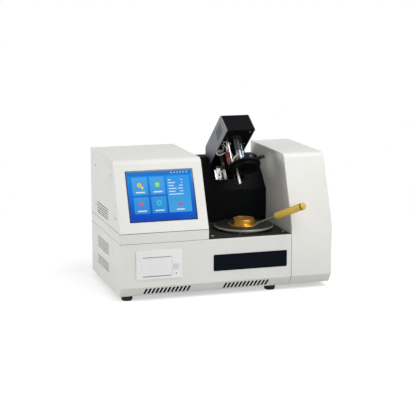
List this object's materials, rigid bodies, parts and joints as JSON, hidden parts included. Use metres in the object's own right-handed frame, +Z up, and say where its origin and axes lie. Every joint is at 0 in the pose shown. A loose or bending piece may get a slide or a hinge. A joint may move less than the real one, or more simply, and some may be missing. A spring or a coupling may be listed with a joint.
{
  "type": "flash point tester",
  "caption": "Automatic closed-cup flash point tester with touch screen housing, side pod, raised lift arm carrying the lid, brass test cup with handle in the stove, and strip printer.",
  "frame": {"origin": "bottom centre of the whole outline on the bench", "axes": "+Z up, -Y front with the screen, +X to the pod side"},
  "size_m": [0.5324, 0.3468, 0.4117],
  "materials": {
    "housing_paint": "fine satin powder coat",
    "black_paint": "satin black powder coat",
    "grey_paint": "satin grey coat",
    "galvanised": "plain zinc sheet",
    "bright_steel": "bright machined steel",
    "alloy": "cast alloy",
    "brass": "polished brass",
    "stove_iron": "dark turned iron",
    "mica_band": "mica heater band",
    "ceramic_white": "fibre insulation",
    "screen_glass": "lit touch screen",
    "dark_plastic": "black moulding",
    "white_plastic": "off-white moulding",
    "black_gloss": "printed panel, blank",
    "board_green": "circuit board",
    "rubber_black": "moulded rubber",
    "coil_red": "lacquered coil",
    "wire_grey": "sleeved wire",
    "grip_gold": "mustard gold lacquer",
    "paper_white": "thermal paper"
  },
  "bodies": {
    "housing": {"base_shell": "housing_paint", "bottom_plates": "galvanised", "rubber_feet": "rubber_black", "base_rear_panel": "housing_paint", "head_plinth": "housing_paint", "head_cover": "housing_paint", "head_rear_panel": "housing_paint", "pod_cover": "housing_paint", "pod_rear_panel": "housing_paint", "deck_plate": "black_paint", "column_cover": "black_paint", "cover_screws": "bright_steel", "touch_glass": "screen_glass", "display_module": "dark_plastic", "main_board": "board_green", "nameplate": "black_gloss", "printer_bezel": "white_plastic", "printer_body": "dark_plastic", "printer_led": "dark_plastic", "power_supply": "galvanised", "inlet_socket": "dark_plastic", "data_port": "galvanised", "earth_terminal": "brass", "fan_frame": "dark_plastic", "fan_guard": "bright_steel", "stove_can": "galvanised", "stove_insulation": "ceramic_white", "stove_well": "stove_iron", "heater_band": "mica_band", "stove_disc": "stove_iron", "disc_standoffs": "bright_steel", "hinge_cheeks": "black_paint", "hinge_bushes": "brass", "lift_gearmotor": "alloy"},
    "lift_arm": {"hinge_shaft": "bright_steel", "arm_cover": "black_paint", "arm_sides": "grey_paint", "arm_base_plate": "black_paint", "lid_drives": "alloy", "stirrer_tube": "black_paint", "lid_plate": "black_paint", "lid_posts": "bright_steel", "igniter_bracket": "bright_steel", "ignition_coil": "coil_red", "probes": "bright_steel", "sensor_fork": "bright_steel", "arm_wires": "wire_grey"},
    "shutter": {"shutter_plate": "bright_steel", "shutter_grip": "dark_plastic"},
    "igniter": {"igniter_lever": "bright_steel"},
    "stirrer": {"stirrer_shaft": "bright_steel"},
    "cup": {"test_cup": "brass", "cup_handle": "bright_steel", "cup_grip": "grip_gold"},
    "printer_door": {"printer_door": "white_plastic"},
    "platen": {"platen_roller": "rubber_black"},
    "paper": {"paper_roll": "paper_white"},
    "feed_key": {"feed_button": "white_plastic"},
    "power_switch": {"power_rocker": "dark_plastic"},
    "fan": {"fan_rotor": "dark_plastic"}
  },
  "joints": [
    {"name": "arm_lift", "type": "hinge", "parent": "housing", "child": "lift_arm", "pos_m": [0.072, 0.15543, 0.236], "axis": [-1, 0, 0], "range_deg": [-37, 0]},
    {"name": "shutter_turn", "type": "hinge", "parent": "lift_arm", "child": "shutter", "pos_m": [0.068, -0.03155, 0.29526], "axis": [0, 0.6018, 0.7986], "range_deg": [0, 40]},
    {"name": "igniter_dip", "type": "hinge", "parent": "lift_arm", "child": "igniter", "pos_m": [0.038, -0.04262, 0.31049], "axis": [0, 0.7986, -0.6018], "range_deg": [0, 42]},
    {"name": "stirrer_spin", "type": "hinge", "parent": "lift_arm", "child": "stirrer", "pos_m": [0.068, -0.03456, 0.29127], "axis": [0, 0.6018, 0.7986], "continuous": true},
    {"name": "cup_lift", "type": "slide", "parent": "housing", "child": "cup", "axis": [0, 0, 1], "range_m": [0, 0.06]},
    {"name": "paper_door_tilt", "type": "hinge", "parent": "housing", "child": "printer_door", "pos_m": [-0.177, -0.13697, 0.0633], "axis": [1, 0, 0], "range_deg": [0, 80]},
    {"name": "platen_spin", "type": "hinge", "parent": "printer_door", "child": "platen", "pos_m": [-0.177, -0.12957, 0.0933], "axis": [1, 0, 0], "continuous": true},
    {"name": "paper_spin", "type": "hinge", "parent": "housing", "child": "paper", "pos_m": [-0.177, -0.10087, 0.0793], "axis": [1, 0, 0], "continuous": true},
    {"name": "feed_press", "type": "slide", "parent": "housing", "child": "feed_key", "axis": [0, 1, 0], "range_m": [0, 0.0008], "stiffness_N_per_m": 400},
    {"name": "switch_rock", "type": "hinge", "parent": "housing", "child": "power_switch", "pos_m": [-0.171, 0.16593, 0.052], "axis": [-1, 0, 0], "range_deg": [0, 20]},
    {"name": "fan_spin", "type": "hinge", "parent": "housing", "child": "fan", "pos_m": [0.055, 0.16043, 0.078], "axis": [0, 1, 0], "continuous": true}
  ],
  "couplings": [
    {"joint": "igniter_dip", "follows": "shutter_turn", "ratio": 1.05}
  ]
}
